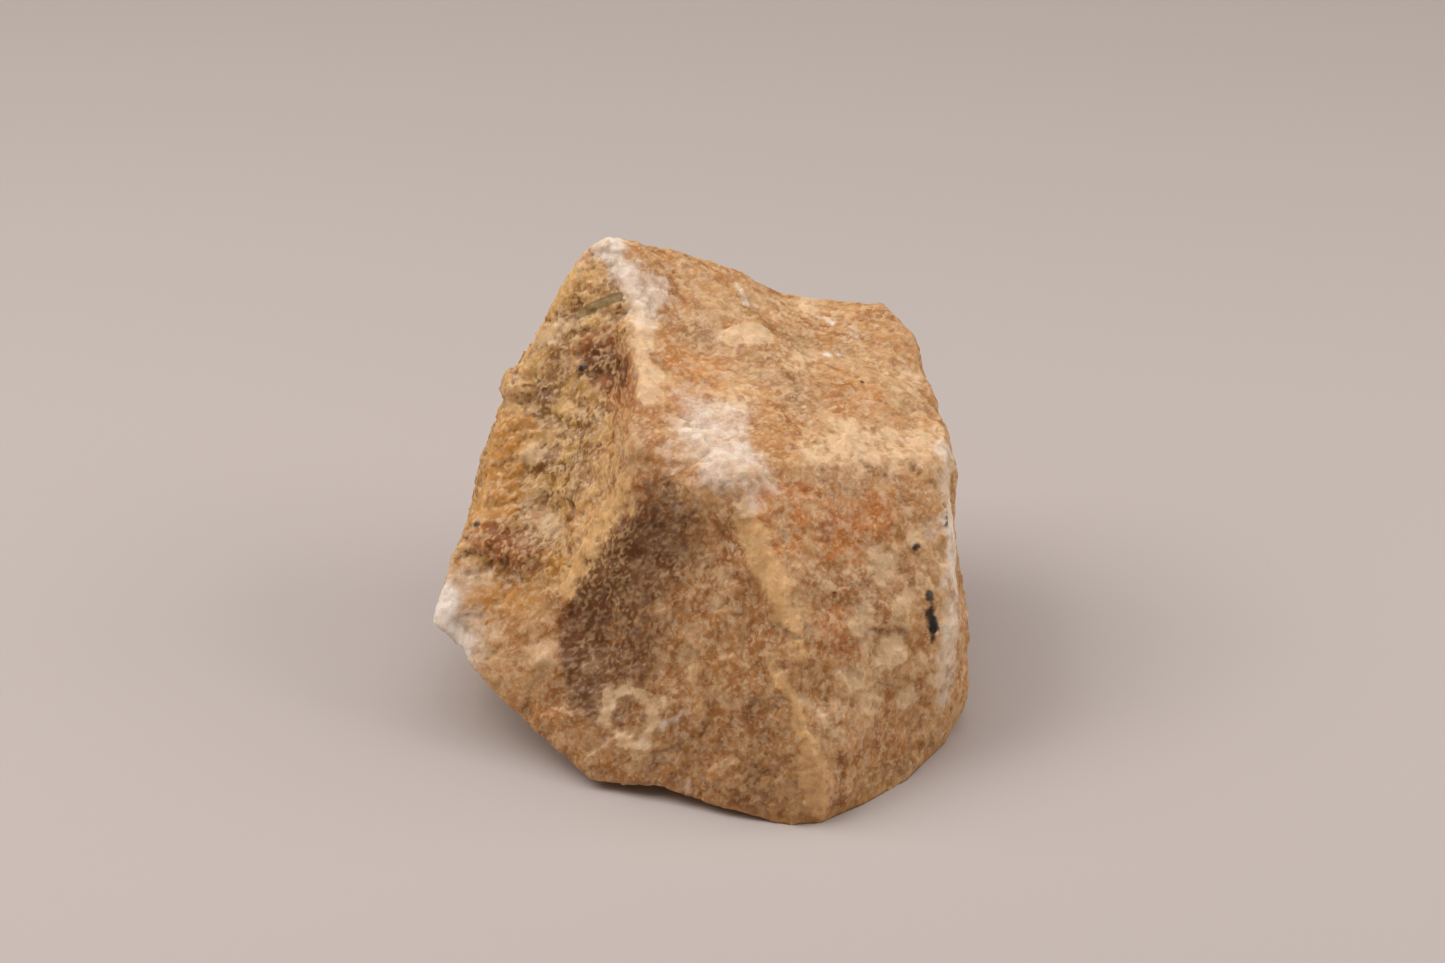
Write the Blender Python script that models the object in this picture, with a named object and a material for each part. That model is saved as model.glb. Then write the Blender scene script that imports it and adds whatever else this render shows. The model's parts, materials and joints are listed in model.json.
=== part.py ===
"""A rough lump of honey calcite, broken by hand from a vein and resting on its flattest break.

The stone is one solid. Its frame has +Z up and its origin at the middle of the bounding box, on the
surface that it rests on. The lump is described the way a mason would describe a block: by the corners
where its broken faces meet. A skin is stretched over those corners, the breaks are given an even mesh,
the arrises are blunted by handling, and the faces get the swells and chips of a granular break. Last,
the lump is brought to its overall width, depth and height.
"""

import bmesh
import bpy
from mathutils import Vector

MM = 0.001

# Driving dimensions, in millimetres.
WIDTH, DEPTH, HEIGHT = 64.0, 58.5, 52.5
MESH_EDGE = 3.4  # longest triangle side left on a broken face
ARRIS_BLUNTING = 2  # smoothing passes that wear the sharp arrises down
SWELL_SIZE, SWELL_DEPTH = 11.0, 1.1  # broad waves of a break across many grains
CHIP_SIZE, CHIP_DEPTH = 4.0, 0.5  # single grains plucked from a face
OUTWARD, IN_AND_OUT = 0.0, 0.5  # whether relief only builds the surface up, or also cuts it back
RELIEF_FADE = 3.0  # height over which relief grows from nothing at the resting face
HONEY = (0.50, 0.25, 0.10, 1.0)
DULL = 0.55

# A point well inside the lump. Every corner can be seen from it, so it orders the corners round the skin.
HEART = Vector((0.0, 0.0, 20.0))

# Back edge of the top, from the peak to the right-hand corner.
CREST = (
    (-11.5, 18.0, 52.5),
    (-4.0, 20.0, 49.5),
    (5.0, 21.0, 46.0),
    (10.0, 21.5, 42.5),
    (16.5, 23.0, 41.0),
    (22.0, 22.0, 41.0),
    (25.5, 17.5, 39.5),
    (26.5, 12.5, 37.0),
    (28.5, 6.0, 35.0),
    (29.0, -1.0, 33.0),
)

# Front edge of the top, from that corner to the apex and on to the left ridge.
BROW = (
    (29.0, -1.0, 33.0),
    (22.0, -4.0, 34.5),
    (15.5, -7.5, 36.0),
    (9.0, -10.0, 37.0),
    (4.5, -12.0, 38.0),
    (-1.5, -12.0, 35.5),
    (-6.5, -11.0, 33.0),
)

# Left edge of the top, standing proud of the hollow beside it.
LEFT_RIDGE = (
    (-6.5, -11.0, 33.0),
    (-8.0, -6.5, 39.0),
    (-7.0, 1.0, 43.0),
    (-7.0, 12.0, 47.0),
    (-8.0, 15.5, 50.0),
    (-11.5, 18.0, 52.5),
)

TOP_SWELLS = (
    (4.5, 13.0, 44.0),
    (13.5, 13.5, 40.0),
    (22.0, 10.0, 38.0),
    (-1.5, 8.0, 42.5),
    (-1.5, -4.5, 39.5),
    (11.5, 0.5, 38.5),
    (21.0, 2.0, 36.0),
)

# Left rim, from the peak down to the nose that overhangs the surface.
LEFT_RIM = (
    (-11.5, 18.0, 52.5),
    (-14.5, 17.0, 50.5),
    (-18.5, 14.0, 43.5),
    (-23.5, 11.0, 36.5),
    (-23.5, 8.5, 35.0),
    (-25.0, 5.0, 29.5),
    (-26.5, 1.0, 25.0),
    (-29.5, -2.5, 21.0),
    (-30.5, -5.0, 17.5),
    (-32.0, -8.0, 14.0),
)

# Floor of the hollow between the left ridge and the left rim.
HOLLOW = (
    (-10.0, 11.0, 45.0),
    (-10.5, 5.5, 38.5),
    (-10.5, -1.0, 34.0),
    (-12.0, -6.5, 27.5),
    (-16.5, 11.0, 41.5),
    (-17.5, 5.5, 33.0),
    (-18.5, 0.0, 26.0),
    (-21.5, -6.0, 19.0),
    (-17.0, -6.5, 22.0),
)

# Arris that bows from the left ridge down to the heel, round the front left face.
BOW = (
    (-6.5, -11.0, 33.0),
    (-11.0, -10.5, 25.5),
    (-14.5, -10.5, 20.5),
    (-17.0, -11.0, 16.5),
    (-17.0, -14.0, 12.5),
    (-16.0, -18.0, 7.5),
    (-13.0, -22.0, 1.5),
)

# Lower edge of the overhang, from the nose to the heel.
OVERHANG = (
    (-32.0, -8.0, 14.0),
    (-29.0, -9.5, 12.0),
    (-25.5, -13.0, 8.5),
    (-19.0, -17.5, 4.5),
    (-13.0, -22.0, 1.5),
)

OVERHANG_SWELLS = ((-24.0, -10.5, 13.0),)

# Front ridge, from the apex to the foot.
SPUR = (
    (4.5, -12.0, 38.0),
    (6.0, -15.0, 33.5),
    (9.0, -20.0, 26.5),
    (10.5, -23.5, 20.5),
    (10.0, -25.5, 16.0),
    (12.0, -27.5, 11.5),
    (13.5, -29.0, 6.0),
    (14.0, -28.5, 0.0),
)

FRONT_SWELLS = (
    (-11.5, -13.0, 15.0),
    (-10.0, -18.5, 9.0),
    (-1.5, -13.5, 26.5),
    (-1.5, -19.0, 15.0),
    (4.5, -24.0, 9.0),
    (-4.5, -21.5, 7.0),
    (18.5, -11.5, 29.5),
    (19.5, -17.0, 20.5),
    (21.0, -20.5, 10.5),
)

# Front lower edge, lifted a little off the surface, with a small arch in it.
FRONT_SILL = (
    (-13.0, -22.0, 1.5),
    (-9.5, -23.0, 1.5),
    (-7.0, -23.5, 2.0),
    (-5.0, -24.0, 2.0),
    (0.0, -26.0, 1.5),
    (5.0, -28.0, 1.0),
    (10.5, -29.0, 0.0),
)

# Right front arris, and the narrow right side that turns away behind it.
RIGHT_ARRIS = (
    (29.0, -1.0, 33.0),
    (28.5, -5.5, 29.0),
    (29.0, -10.0, 22.5),
    (29.5, -13.0, 16.5),
    (29.0, -14.5, 8.0),
    (29.0, -13.0, 0.0),
)

RIGHT_SIDE = (
    (30.0, 1.0, 28.5),
    (30.0, -0.5, 24.0),
    (30.5, -2.5, 19.0),
    (31.5, -5.5, 12.5),
    (32.0, -8.0, 4.5),
)

# Outline of the resting face, on the surface itself.
SOLE = (
    (10.5, -29.0, 0.0),
    (14.0, -28.5, 0.0),
    (19.0, -25.0, 0.0),
    (24.0, -20.5, 0.0),
    (29.0, -13.0, 0.0),
    (31.5, -6.0, 0.0),
    (29.5, 10.0, 0.0),
    (20.0, 22.0, 0.0),
    (4.0, 24.5, 0.0),
    (-14.0, 19.0, 0.0),
    (-20.0, 8.0, 0.0),
    (-14.5, -6.0, 0.0),
    (-6.0, -16.0, 0.0),
    (2.0, -23.0, 0.0),
)

# Corners of the breaks round the back.
BACK = (
    (-14.0, 25.5, 34.0),
    (0.0, 28.5, 30.0),
    (14.0, 29.0, 26.0),
    (26.0, 23.5, 26.0),
    (30.0, 12.0, 22.0),
    (-6.0, 27.0, 14.0),
    (-16.0, 22.0, 8.0),
    (4.0, 28.0, 6.0),
    (22.0, 25.0, 6.0),
    (30.5, 9.0, 8.0),
    (-22.0, 19.0, 32.0),
    (-27.0, 14.0, 22.0),
    (-30.0, 6.0, 12.0),
    (-26.0, 12.0, 5.0),
)

ARRISES = (CREST, BROW, LEFT_RIDGE, LEFT_RIM, BOW, OVERHANG, SPUR, FRONT_SILL, RIGHT_ARRIS, SOLE)
FACE_POINTS = (TOP_SWELLS, HOLLOW, OVERHANG_SWELLS, FRONT_SWELLS, RIGHT_SIDE, BACK)


def clear_scene():
    """Remove whatever the file holds, so that only the stone is left."""
    for obj in list(bpy.data.objects):
        bpy.data.objects.remove(obj, do_unlink=True)


def stretch_skin(corners):
    """Close a triangulated skin over the corners, in the order that they are seen from the heart."""
    skin = bmesh.new()
    places = {}
    for corner in corners:
        vertex = skin.verts.new((Vector(corner) - HEART).normalized())
        places[vertex] = Vector(corner)
    bmesh.ops.convex_hull(skin, input=skin.verts)
    for vertex, place in places.items():
        vertex.co = place
    return skin


def turn_edges_along(skin, arrises):
    """Turn the diagonals that cross an arris, so that each arris runs along edges."""
    at = {tuple(round(c, 3) for c in vertex.co): vertex for vertex in skin.verts}
    for arris in arrises:
        for start, end in zip(arris, arris[1:]):
            a, b = at[tuple(start)], at[tuple(end)]
            if any(edge.other_vert(a) is b for edge in a.link_edges):
                continue
            crossing = [
                edge
                for face in a.link_faces
                for edge in face.edges
                if a not in edge.verts and any(b in other.verts for other in edge.link_faces)
            ]
            if crossing:
                bmesh.ops.rotate_edges(skin, edges=crossing[:1])


def even_out(skin, longest):
    """Split long edges until none is longer than the given length."""
    while True:
        long_edges = [edge for edge in skin.edges if edge.calc_length() > longest]
        if not long_edges:
            return
        bmesh.ops.subdivide_edges(skin, edges=long_edges, cuts=1)
        bmesh.ops.triangulate(skin, faces=skin.faces)


def add_relief(stone, name, size, depth, noise, level):
    """Move the surface with a cloud pattern of the given grain size and depth, about the given level."""
    pattern = bpy.data.textures.new(name, "CLOUDS")
    pattern.noise_basis = noise
    pattern.noise_scale = size * MM
    pattern.noise_depth = 1
    relief = stone.modifiers.new(name, "DISPLACE")
    relief.texture = pattern
    relief.strength = depth * MM
    relief.mid_level = level
    relief.vertex_group = "weathered"


def calcite():
    """The stone's plain honey-coloured material."""
    material = bpy.data.materials.new("honey_calcite")
    material.use_nodes = True
    surface = material.node_tree.nodes["Principled BSDF"]
    surface.inputs["Base Color"].default_value = HONEY
    surface.inputs["Roughness"].default_value = DULL
    surface.inputs["Metallic"].default_value = 0.0
    return material


def build_stone():
    """Make the calcite lump as one closed solid."""
    corners = dict.fromkeys(point for group in ARRISES + FACE_POINTS for point in group)
    skin = stretch_skin(corners)
    turn_edges_along(skin, ARRISES)
    even_out(skin, MESH_EDGE)
    bmesh.ops.recalc_face_normals(skin, faces=skin.faces)
    for vertex in skin.verts:
        vertex.co *= MM

    mesh = bpy.data.meshes.new("calcite_stone")
    skin.to_mesh(mesh)
    skin.free()
    mesh.shade_smooth()
    stone = bpy.data.objects.new("calcite_stone", mesh)
    bpy.context.scene.collection.objects.link(stone)
    mesh.materials.append(calcite())

    weathered = stone.vertex_groups.new(name="weathered")
    for vertex in mesh.vertices:
        weathered.add([vertex.index], min(1.0, vertex.co.z / (RELIEF_FADE * MM)), "REPLACE")

    blunting = stone.modifiers.new("arris_blunting", "SMOOTH")
    blunting.factor = 0.5
    blunting.iterations = ARRIS_BLUNTING
    blunting.vertex_group = "weathered"
    add_relief(stone, "swells", SWELL_SIZE, SWELL_DEPTH, "ORIGINAL_PERLIN", OUTWARD)
    add_relief(stone, "chips", CHIP_SIZE, CHIP_DEPTH, "VORONOI_F2_F1", IN_AND_OUT)
    return stone


def finish_stone(stone):
    """Settle the wear and relief into the mesh."""
    bpy.ops.object.select_all(action="DESELECT")
    stone.select_set(True)
    bpy.context.view_layer.objects.active = stone
    for modifier in list(stone.modifiers):
        bpy.ops.object.modifier_apply(modifier=modifier.name)


def bring_to_size(stone, width, depth, height):
    """Stretch the lump slightly to its overall size, centred over the origin and resting on the surface."""
    vertices = stone.data.vertices
    for axis, length, start in ((0, width, -width / 2), (1, depth, -depth / 2), (2, height, 0.0)):
        low = min(vertex.co[axis] for vertex in vertices)
        high = max(vertex.co[axis] for vertex in vertices)
        for vertex in vertices:
            vertex.co[axis] = start + length * (vertex.co[axis] - low) / (high - low)


def main():
    """Build the specimen."""
    clear_scene()
    stone = build_stone()
    finish_stone(stone)
    bring_to_size(stone, WIDTH * MM, DEPTH * MM, HEIGHT * MM)


main()
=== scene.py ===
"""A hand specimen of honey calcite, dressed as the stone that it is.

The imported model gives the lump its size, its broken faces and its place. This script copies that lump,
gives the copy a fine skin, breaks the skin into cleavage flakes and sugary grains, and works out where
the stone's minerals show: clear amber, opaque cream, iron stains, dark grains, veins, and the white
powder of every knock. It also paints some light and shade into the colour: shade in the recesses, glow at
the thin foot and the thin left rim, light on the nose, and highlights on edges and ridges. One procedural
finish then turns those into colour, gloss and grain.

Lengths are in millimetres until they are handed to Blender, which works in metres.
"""

import json
import logging
import math
from dataclasses import dataclass, field
from enum import Enum
from typing import Any

import bpy
import numpy as np
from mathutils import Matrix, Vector, noise

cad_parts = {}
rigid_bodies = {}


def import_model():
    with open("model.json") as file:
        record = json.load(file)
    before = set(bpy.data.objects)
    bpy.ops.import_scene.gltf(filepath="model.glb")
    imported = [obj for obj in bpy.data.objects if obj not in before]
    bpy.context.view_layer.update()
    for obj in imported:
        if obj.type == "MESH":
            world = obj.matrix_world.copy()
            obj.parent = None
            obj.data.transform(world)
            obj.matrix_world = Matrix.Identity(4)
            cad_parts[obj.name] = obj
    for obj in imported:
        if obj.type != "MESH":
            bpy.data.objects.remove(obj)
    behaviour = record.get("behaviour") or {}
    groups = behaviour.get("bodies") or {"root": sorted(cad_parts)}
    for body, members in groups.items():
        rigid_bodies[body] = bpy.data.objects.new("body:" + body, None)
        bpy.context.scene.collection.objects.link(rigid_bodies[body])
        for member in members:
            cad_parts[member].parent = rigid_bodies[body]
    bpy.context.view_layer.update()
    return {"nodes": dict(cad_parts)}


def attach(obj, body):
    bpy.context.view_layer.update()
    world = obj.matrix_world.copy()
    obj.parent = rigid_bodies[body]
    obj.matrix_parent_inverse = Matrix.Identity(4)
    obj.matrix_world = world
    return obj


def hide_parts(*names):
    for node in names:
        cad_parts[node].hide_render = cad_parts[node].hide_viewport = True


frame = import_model()

MM = 0.001

# The crystals grew in sheets: which way the sheets face, and how many times wider a crystal is along them
# than through them.
BEDDING = (-0.12, -0.93, 0.34)
FLATNESS = 2.0

# Three far places in the endless noise, one for each direction of a sway.
SWAY_SHIFTS = ((17.3, -5.1, 9.7), (-31.9, 23.3, 4.1), (8.9, 41.7, -27.1))

# A cell gets its own number from a sine: how much each direction counts in it, and how far it is blown up,
# which is so far that no two cells' numbers are alike.
CELL_MIX = (12.9898, 78.233, 37.719)
CELL_SPREAD = 43758.5453

log = logging.getLogger("specimen")

Span = tuple[float, float]
Triple = tuple[float, float, float]
Colour = tuple[float, float, float, float]


def linear(code: str) -> Colour:
    """Turn an sRGB hex colour into the linear colour that Blender's sockets take.

    Args:
        code: Six hex digits, red, green and blue.

    Returns:
        The linear red, green and blue, and an alpha of one.
    """
    parts = [int(code[place:place + 2], 16) / 255 for place in (0, 2, 4)]
    red, green, blue = (p / 12.92 if p <= 0.04045 else ((p + 0.055) / 1.055) ** 2.4 for p in parts)
    return red, green, blue, 1.0


def add_node(tree: bpy.types.NodeTree, kind: str, settings: dict[Any, Any] | None = None,
             links: dict[Any, bpy.types.NodeSocket] | None = None) -> bpy.types.Node:
    """Add a node with its settings and its incoming links.

    Args:
        tree: The node tree that it goes into.
        kind: The node's type name, without its "ShaderNode" beginning.
        settings: Properties by name, and socket values by the socket's name or number. "stops" is a
            colour ramp's list of places and values.
        links: The socket that feeds each input, by the input's name or number.

    Returns:
        The new node.
    """
    node = tree.nodes.new("ShaderNode" + kind)
    for key, value in (settings or {}).items():
        if key == "stops":
            elements = node.color_ramp.elements
            while len(elements) < len(value):
                elements.new(0.5)
            for element, (place, tone) in zip(elements, value):
                element.position = place
                element.color = tone if isinstance(tone, tuple) else (tone, tone, tone, 1.0)
        elif isinstance(key, str) and hasattr(node, key):
            setattr(node, key, value)
        else:
            node.inputs[key].default_value = value
    for key, socket in (links or {}).items():
        tree.links.new(socket, node.inputs[key])
    return node


def choose_only(obj: bpy.types.Object) -> None:
    """Make one object the only one selected, and the active one.

    Args:
        obj: The object to choose.
    """
    bpy.ops.object.select_all(action="DESELECT")
    obj.select_set(True)
    bpy.context.view_layer.objects.active = obj


def smooth_step(value: np.ndarray, low: float, high: float) -> np.ndarray:
    """Rise smoothly from 0 to 1 as the value goes from low to high."""
    part = np.clip((value - low) / (high - low), 0.0, 1.0)
    return part * part * (3.0 - 2.0 * part)


class Mineral(Enum):
    """What shows at the surface. The value is the name of the mesh attribute that carries it."""

    BRUISE = "bruise"
    CREAM = "cream"
    AMBER = "amber"
    ORANGE = "orange"
    RUST = "rust"
    UMBER = "umber"
    ASH = "ash"
    OLIVE = "olive"
    DRAB = "drab"
    VEIN = "vein"


@dataclass(frozen=True)
class Patch:
    """One place where a mineral shows: a spot, or a streak along several points.

    Attributes:
        mineral: What shows there.
        reach: How far it spreads from the points, in millimetres.
        strength: How completely it covers, from 0 to 1.
        points: Where it lies, in millimetres.
    """

    mineral: Mineral
    reach: float
    strength: float
    points: tuple[Triple, ...]

    def cover(self, places: np.ndarray) -> np.ndarray:
        """Say how much of the mineral shows at each place.

        Args:
            places: One row of x, y and z for each place.

        Returns:
            The cover at each place, from 0 to strength.
        """
        marks = np.array(self.points)
        if len(marks) == 1:
            away = np.linalg.norm(places - marks[0], axis=1)
        else:
            away = np.full(len(places), np.inf)
            for start, end in zip(marks, marks[1:]):
                run = end - start
                along = np.clip((places - start) @ run / (run @ run), 0.0, 1.0)
                away = np.minimum(away, np.linalg.norm(places - start - along[:, None] * run, axis=1))
        return self.strength * (1.0 - smooth_step(away, 0.25 * self.reach, self.reach))


def spots(mineral: Mineral, reach: float, strength: float, *points: Triple) -> list[Patch]:
    """Make one round patch of the mineral at each point."""
    return [Patch(mineral, reach, strength, (point,)) for point in points]


def streak(mineral: Mineral, reach: float, strength: float, *points: Triple) -> list[Patch]:
    """Make one long patch of the mineral along the points."""
    return [Patch(mineral, reach, strength, points)]


MINERALS: list[Patch] = [
    # Knocks that crushed the surface to white powder: the apex, the peak and the nose.
    *streak(Mineral.BRUISE, 7.5, 0.48, (0.5, -3.5, 39.5), (2.0, -7.5, 39.0)),
    *streak(Mineral.BRUISE, 4.5, 0.42, (2.5, -7.5, 39.0), (4.0, -11.5, 38.5), (5.0, -13.5, 36.5)),
    *spots(Mineral.BRUISE, 5.0, 0.62, (1.5, -6.0, 39.5), (3.5, -9.5, 38.5)),
    *streak(Mineral.BRUISE, 3.6, 0.75, (-11.0, 16.5, 51.5), (-9.5, 13.5, 49.5), (-8.5, 12.5, 48.5)),
    *streak(Mineral.BRUISE, 2.4, 0.5, (-9.5, 13.5, 49.5), (-5.0, 14.0, 48.0), (-7.0, 8.5, 46.0)),
    # The nose's powder is laid stronger than full: white powder, with painted light over it for the light
    # that shines through and onto the nose.
    *streak(Mineral.BRUISE, 3.6, 1.2, (-31.0, -6.0, 16.5), (-32.0, -7.0, 15.0), (-30.5, -9.5, 13.0)),
    *streak(Mineral.BRUISE, 5.0, 0.5, (-30.0, -6.0, 17.0), (-31.0, -8.0, 14.5), (-29.0, -10.0, 12.5)),
    # A whitish band down the right arris.
    *streak(Mineral.BRUISE, 2.8, 0.55, (28.5, 0.0, 33.5), (29.0, -3.0, 31.0), (29.0, -5.5, 27.0)),
    *streak(Mineral.BRUISE, 3.6, 0.75, (29.0, -5.5, 27.0), (29.5, -8.0, 23.0), (29.5, -11.0, 19.5)),
    *streak(Mineral.BRUISE, 3.0, 0.55, (29.5, -11.0, 19.5), (29.0, -14.0, 15.5), (29.0, -15.0, 8.0)),
    *streak(Mineral.CREAM, 4.0, 0.7, (28.0, -5.5, 27.0), (28.0, -11.5, 19.5), (27.5, -15.0, 12.0)),
    # Thin white edges of cleavage steps, on the top and in the front left face.
    # The three short lines on the top are white step edges with painted glints: the light they catch is
    # painted into their colour.
    *streak(Mineral.BRUISE, 0.7, 0.8, (14.5, 18.5, 41.5), (15.5, 17.5, 40.5)),
    *streak(Mineral.BRUISE, 0.9, 0.8, (18.0, 16.0, 40.5), (19.0, 15.5, 40.0)),
    *streak(Mineral.BRUISE, 0.7, 0.8, (14.5, 11.5, 40.5), (16.5, 11.0, 39.5)),
    *streak(Mineral.BRUISE, 0.8, 0.6, (3.5, 17.5, 46.0), (5.0, 15.5, 45.0)),
    *streak(Mineral.BRUISE, 0.9, 0.6, (-2.5, -21.0, 11.0), (-4.0, -21.5, 9.0), (-7.0, -21.5, 6.5)),
    *spots(Mineral.BRUISE, 1.1, 0.6, (-1.5, -25.5, 3.0)),
    # Opaque cream calcite: along the brow, on the top, and in the front faces.
    *streak(Mineral.CREAM, 6.0, 0.60, (14.0, -6.5, 36.5), (20.0, -3.5, 36.0), (27.5, 0.0, 34.0)),
    *streak(Mineral.CREAM, 2.6, 0.9, (3.0, 9.5, 43.5), (5.5, 9.5, 43.5), (7.0, 10.5, 43.0)),
    *spots(Mineral.CREAM, 3.4, 0.7, (17.0, -1.0, 37.0), (25.0, 10.5, 37.5), (13.0, 20.0, 42.0)),
    *spots(Mineral.CREAM, 6.0, 0.45, (12.0, 8.0, 41.0), (20.0, 11.0, 39.0), (4.0, 0.0, 41.5),
           (8.0, 17.0, 43.5)),
    *streak(Mineral.CREAM, 2.4, 0.8, (-7.5, 10.5, 46.5), (-6.5, 4.0, 44.5), (-6.0, -1.5, 42.0)),
    *spots(Mineral.CREAM, 2.6, 0.8, (-18.0, -3.5, 25.0), (-20.0, 3.5, 30.5), (-18.5, -13.5, 13.0)),
    *spots(Mineral.CREAM, 3.0, 0.5, (-28.0, -10.5, 11.5), (-24.0, -12.0, 11.5), (-27.0, -5.0, 19.0)),
    *streak(Mineral.CREAM, 1.2, 0.9, (-20.5, 12.0, 40.5), (-17.5, 11.5, 43.0), (-15.0, 11.0, 44.5)),
    *spots(Mineral.CREAM, 3.6, 0.85, (21.0, -13.0, 26.0), (18.5, -18.0, 21.0), (22.0, -18.0, 17.0)),
    *spots(Mineral.CREAM, 3.2, 0.85, (23.5, -14.5, 21.5), (17.5, -21.5, 15.0), (19.5, -21.5, 12.0)),
    *spots(Mineral.CREAM, 2.6, 0.75, (25.0, -10.5, 27.5), (24.0, -19.0, 10.5), (25.5, -16.5, 14.5)),
    *spots(Mineral.CREAM, 5.0, 0.50, (21.0, -19.0, 16.0), (14.5, -25.0, 12.0), (26.0, -12.0, 24.0)),
    *spots(Mineral.CREAM, 2.0, 0.50, (3.0, -19.5, 22.5), (-1.0, -20.0, 14.5), (2.5, -22.5, 13.0)),
    *spots(Mineral.CREAM, 1.8, 0.60, (-13.5, -15.5, 13.5), (-4.5, -15.5, 21.0), (1.5, -17.0, 27.0)),
    # The ring in the front left face.
    *streak(Mineral.CREAM, 1.6, 0.68, (-11.0, -17.5, 11.0), (-8.0, -18.0, 11.5), (-5.5, -20.0, 11.0),
            (-5.5, -21.0, 9.0), (-7.0, -21.5, 6.5), (-10.0, -21.0, 6.5), (-12.0, -19.5, 8.0),
            (-11.0, -17.5, 11.0)),
    # Clear amber at the thin left rim and in the overhang.
    # At the thin left rim this amber is partly clear amber calcite and partly painted glow, for light shining
    # through the rim.
    *streak(Mineral.AMBER, 5.0, 1.1, (-23.5, 5.5, 31.5), (-25.0, 2.5, 28.5), (-25.5, 0.5, 25.5)),
    *spots(Mineral.AMBER, 4.0, 0.6, (-26.5, -7.0, 17.0), (-21.5, -8.0, 17.5), (-17.0, -7.0, 21.5)),
    # Warm orange beside the apex, along the left ridge, and along the arris below it.
    *streak(Mineral.ORANGE, 6.0, 1.1, (9.0, -14.0, 33.0), (12.5, -13.5, 32.0), (15.5, -13.0, 30.5)),
    *spots(Mineral.ORANGE, 5.0, 0.8, (20.0, -10.0, 31.0), (14.5, -19.0, 20.0), (10.0, -16.0, 30.5)),
    *streak(Mineral.ORANGE, 3.0, 0.6, (-14.5, -5.5, 27.0), (-11.5, -9.0, 28.0), (-8.0, -9.0, 33.0)),
    *streak(Mineral.ORANGE, 4.0, 0.4, (-2.0, -1.0, 41.0), (2.0, 4.0, 42.0), (-3.0, 4.5, 43.0)),
    *spots(Mineral.ORANGE, 4.0, 0.5, (13.5, 2.5, 38.5), (20.0, 5.0, 38.0)),
    *streak(Mineral.ORANGE, 3.2, 0.9, (-7.0, -9.5, 34.0), (-11.0, -9.5, 28.0), (-15.5, -10.0, 20.5)),
    *streak(Mineral.VEIN, 3.2, 0.6, (-8.5, -8.5, 33.0), (-11.5, -8.5, 28.5), (-14.0, -9.0, 24.5)),
    *streak(Mineral.VEIN, 3.0, 0.6, (-14.0, -9.0, 24.5), (-16.0, -9.5, 20.5)),
    # Iron stains.
    *streak(Mineral.RUST, 3.6, 0.9, (-26.5, -2.5, 23.0), (-24.0, -3.5, 22.5), (-21.0, -5.0, 21.5)),
    *streak(Mineral.RUST, 1.8, 0.6, (-8.0, 1.5, 42.0), (-7.5, -2.0, 41.0), (-7.5, -5.5, 38.5)),
    *spots(Mineral.RUST, 2.6, 0.6, (16.0, -20.5, 19.0), (17.5, -24.0, 8.5), (14.5, -13.5, 31.0)),
    *streak(Mineral.RUST, 1.8, 0.8, (-16.0, -12.0, 14.5), (-15.0, -11.0, 18.0)),
    *spots(Mineral.RUST, 2.0, 0.7, (-8.0, -17.0, 15.0), (-9.0, -20.0, 9.0)),
    # Dark grains: the stain in the hollow, and the left border of the front left face.
    *streak(Mineral.RUST, 5.0, 0.9, (-12.0, 8.5, 42.0), (-10.5, 6.0, 41.0), (-9.5, 2.0, 40.0)),
    *streak(Mineral.UMBER, 2.6, 0.75, (-13.0, 8.0, 41.0), (-11.0, 7.0, 41.5), (-9.5, 4.0, 41.0)),
    *spots(Mineral.UMBER, 1.4, 0.7, (-18.0, 4.5, 34.5), (-19.5, 8.0, 37.0), (-19.0, 2.5, 30.5)),
    *streak(Mineral.UMBER, 4.5, 0.8, (-6.5, -12.0, 31.0), (-10.0, -12.0, 26.0), (-12.5, -12.5, 20.5)),
    *streak(Mineral.UMBER, 4.5, 1.0, (-12.0, -11.5, 24.0), (-13.5, -12.0, 20.0), (-14.0, -14.0, 15.5)),
    *streak(Mineral.UMBER, 3.2, 0.9, (-14.5, -15.0, 12.5), (-14.0, -17.0, 10.0)),
    *streak(Mineral.UMBER, 9.0, 0.5, (-6.0, -12.0, 30.0), (-10.0, -14.0, 20.0), (-11.0, -17.5, 11.0)),
    *spots(Mineral.UMBER, 2.6, 0.7, (-4.0, -12.0, 34.5), (-6.5, -14.5, 22.0)),
    *spots(Mineral.UMBER, 9.0, 0.25, (-4.0, -24.0, 5.0), (6.0, -27.0, 4.0)),
    # Drab, half clear grains in the hollow.
    *streak(Mineral.DRAB, 9.5, 0.95, (-14.0, 9.0, 42.0), (-17.0, 4.0, 33.5), (-20.0, -3.0, 23.0)),
    # Grey, nearly clear grains.
    *spots(Mineral.ASH, 5.0, 0.7, (11.5, 12.0, 41.0), (12.0, 2.5, 39.0), (0.0, 10.0, 44.0)),
    *spots(Mineral.ASH, 6.0, 0.5, (18.0, 13.0, 40.0), (7.0, 5.0, 42.0), (5.0, 14.0, 44.5), (24.0, 6.0, 37.5)),
    *spots(Mineral.ASH, 4.0, 0.6, (-20.5, 6.0, 33.5), (-17.5, 5.5, 35.5), (-2.0, -14.0, 27.0)),
    *streak(Mineral.ASH, 2.6, 0.7, (18.5, -25.0, 2.0), (23.5, -21.0, 1.5), (26.5, -16.5, 1.5)),
    # One long olive crystal below the peak.
    *streak(Mineral.OLIVE, 1.0, 1.0, (-15.0, 12.0, 45.0), (-12.5, 12.0, 46.5), (-10.0, 12.0, 47.5)),
    # The cream vein down the front ridge, stepped sideways half way, and its pale foot.
    # Along the front ridge this pale vein is partly painted highlight, for the stronger light on the ridge.
    *streak(Mineral.VEIN, 2.6, 0.75, (5.0, -15.5, 33.5), (6.5, -17.5, 30.5), (9.0, -20.0, 26.5)),
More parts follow.
